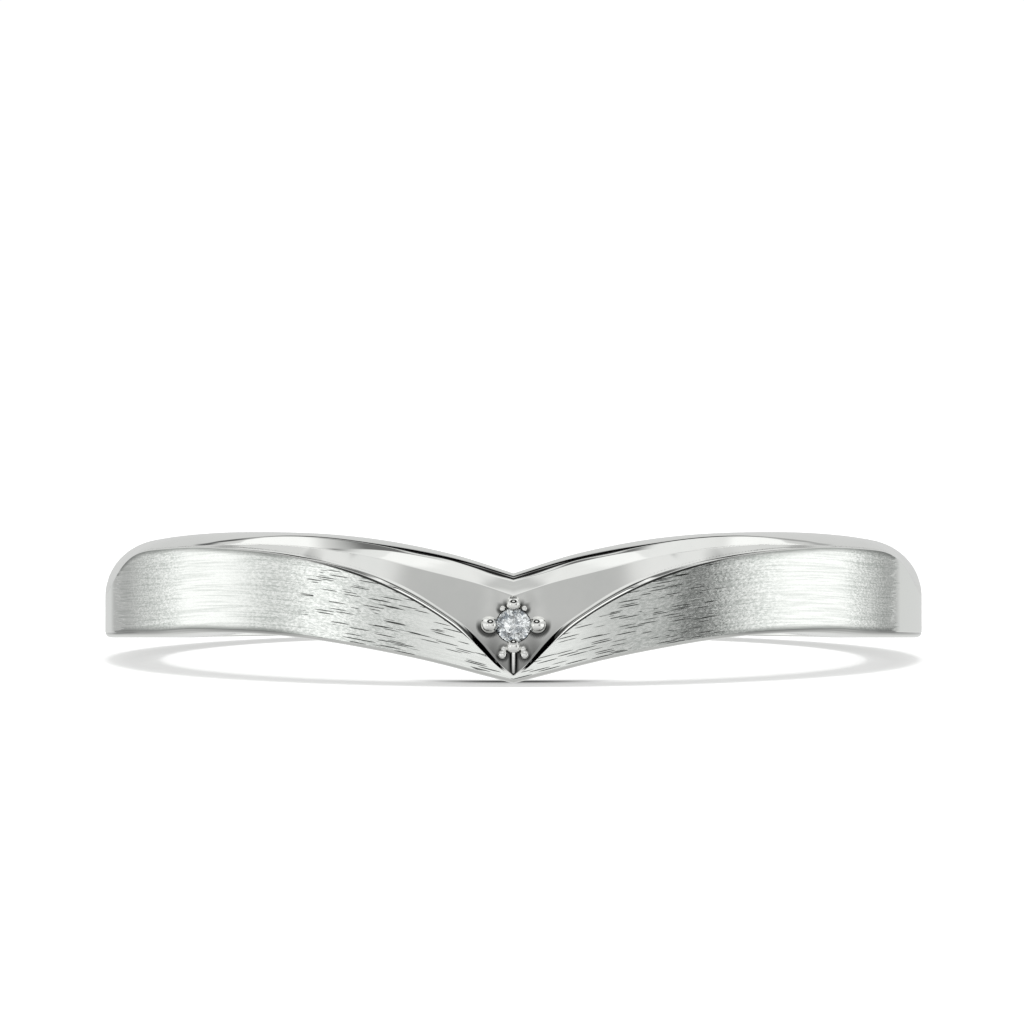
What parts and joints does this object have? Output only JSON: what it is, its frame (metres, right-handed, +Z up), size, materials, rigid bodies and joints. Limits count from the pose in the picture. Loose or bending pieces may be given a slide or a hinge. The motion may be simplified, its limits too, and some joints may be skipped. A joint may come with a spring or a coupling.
{
  "type": "wedding ring",
  "caption": "Wishbone wedding ring in white metal, brushed lapels round a polished recess with a small round diamond in bead prongs.",
  "frame": {"origin": "centre of the box's underside, on the surface that the ring lies on", "axes": "+Z up as the ring lies on its side, -Y towards the V with the stone, +X to the right of the stone"},
  "size_m": [0.0192, 0.0194, 0.0033],
  "materials": {
    "white_metal": "satin brushed with polished edges",
    "stone": "brilliant cut, polished"
  },
  "bodies": {
    "root": {"band": "white_metal", "diamond": "stone"}
  },
  "joints": []
}
